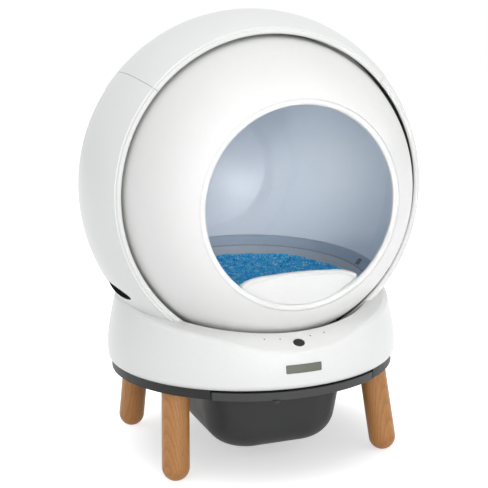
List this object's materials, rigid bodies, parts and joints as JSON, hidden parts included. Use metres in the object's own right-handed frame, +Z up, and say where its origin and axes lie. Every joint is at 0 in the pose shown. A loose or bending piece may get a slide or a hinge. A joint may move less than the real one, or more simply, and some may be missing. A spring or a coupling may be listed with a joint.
{
  "type": "self cleaning litter box",
  "caption": "Self cleaning litter box: a sifting drum turns inside a round shell over a slide-out waste bin, on wooden legs.",
  "frame": {"origin": "on the floor, under the centre of the round base", "axes": "+Z up, the entry faces -Y, X across the width"},
  "size_m": [0.56, 0.4796, 0.7146],
  "materials": {
    "white_plastic": "satin moulded white",
    "drum_white": "satin moulded white",
    "ring_white": "smooth white",
    "lip_white": "satin white",
    "bowl_plastic": "satin blue-grey",
    "liner_plastic": "matt slate grey",
    "clip_plastic": "matt dark slate",
    "dark_plastic": "fine-grained charcoal",
    "tub_plastic": "fine-grained charcoal",
    "grip_plastic": "matt black",
    "leg_oak": "oiled oak, satin",
    "zinc_steel": "zinc plated",
    "badge_plate": "bare olive-grey plate",
    "black_window": "smoked black",
    "light_pipe": "smoked light pipe",
    "board_green": "solder-masked circuit board",
    "socket_black": "black socket",
    "motor_can": "plated steel can",
    "gearbox_plastic": "dark moulded",
    "gear_plastic": "natural gear plastic",
    "roller_rubber": "soft roller tyre",
    "litter_grains": "loose mixed blue and pale grains"
  },
  "bodies": {
    "base": {"base_skirt": "white_plastic", "shell_body": "white_plastic", "rear_cover": "white_plastic", "base_ring": "dark_plastic", "drawer_rails": "dark_plastic", "waste_chute": "dark_plastic", "grip_pocket_left": "grip_plastic", "grip_pocket_right": "grip_plastic", "leg_front_left": "leg_oak", "leg_front_right": "leg_oak", "leg_rear_left": "leg_oak", "leg_rear_right": "leg_oak", "leg_bolts": "zinc_steel", "cover_screws": "zinc_steel", "motor_bracket": "zinc_steel", "badge_plate": "badge_plate", "sensor_window": "black_window", "status_lights": "light_pipe", "control_board": "board_green", "power_inlet": "socket_black", "drive_motor": "motor_can", "gearbox": "gearbox_plastic", "rear_bearing": "gear_plastic", "roller_brackets": "gear_plastic", "litter_bed": "litter_grains"},
    "hood": {"hood": "white_plastic"},
    "drum": {"drum_front_cap": "drum_white", "entry_ring": "ring_white", "entry_lip": "lip_white", "drum_rear_bowl": "bowl_plastic", "litter_liner": "liner_plastic", "liner_clips": "clip_plastic", "sifting_grille": "liner_plastic", "clean_litter_pocket": "bowl_plastic", "waste_port_frame": "bowl_plastic", "ring_gear": "gear_plastic"},
    "pinion": {"drive_pinion": "gear_plastic"},
    "roller_left": {"roller_left": "roller_rubber"},
    "roller_right": {"roller_right": "roller_rubber"},
    "drawer": {"drawer_front": "dark_plastic", "waste_tub": "tub_plastic"}
  },
  "joints": [
    {"name": "drum_spin", "type": "hinge", "parent": "base", "child": "drum", "pos_m": [0, -0.0138, 0.4346], "axis": [0, 1, 0], "continuous": true},
    {"name": "pinion_spin", "type": "hinge", "parent": "base", "child": "pinion", "pos_m": [0.12408, 0.0862, 0.20124], "axis": [0, 1, 0], "continuous": true},
    {"name": "roller_left_spin", "type": "hinge", "parent": "base", "child": "roller_left", "pos_m": [-0.12795, -0.0788, 0.21298], "axis": [0, 1, 0], "continuous": true},
    {"name": "roller_right_spin", "type": "hinge", "parent": "base", "child": "roller_right", "pos_m": [0.12795, -0.0788, 0.21298], "axis": [0, 1, 0], "continuous": true},
    {"name": "hood_lift", "type": "slide", "parent": "base", "child": "hood", "axis": [0, 0, 1], "range_m": [0, 0.2]},
    {"name": "drawer_slide", "type": "slide", "parent": "base", "child": "drawer", "axis": [0, -1, 0], "range_m": [0, 0.24]}
  ],
  "couplings": [
    {"joint": "pinion_spin", "follows": "drum_spin", "ratio": -10},
    {"joint": "roller_left_spin", "follows": "drum_spin", "ratio": -35.5},
    {"joint": "roller_right_spin", "follows": "drum_spin", "ratio": -35.5}
  ]
}
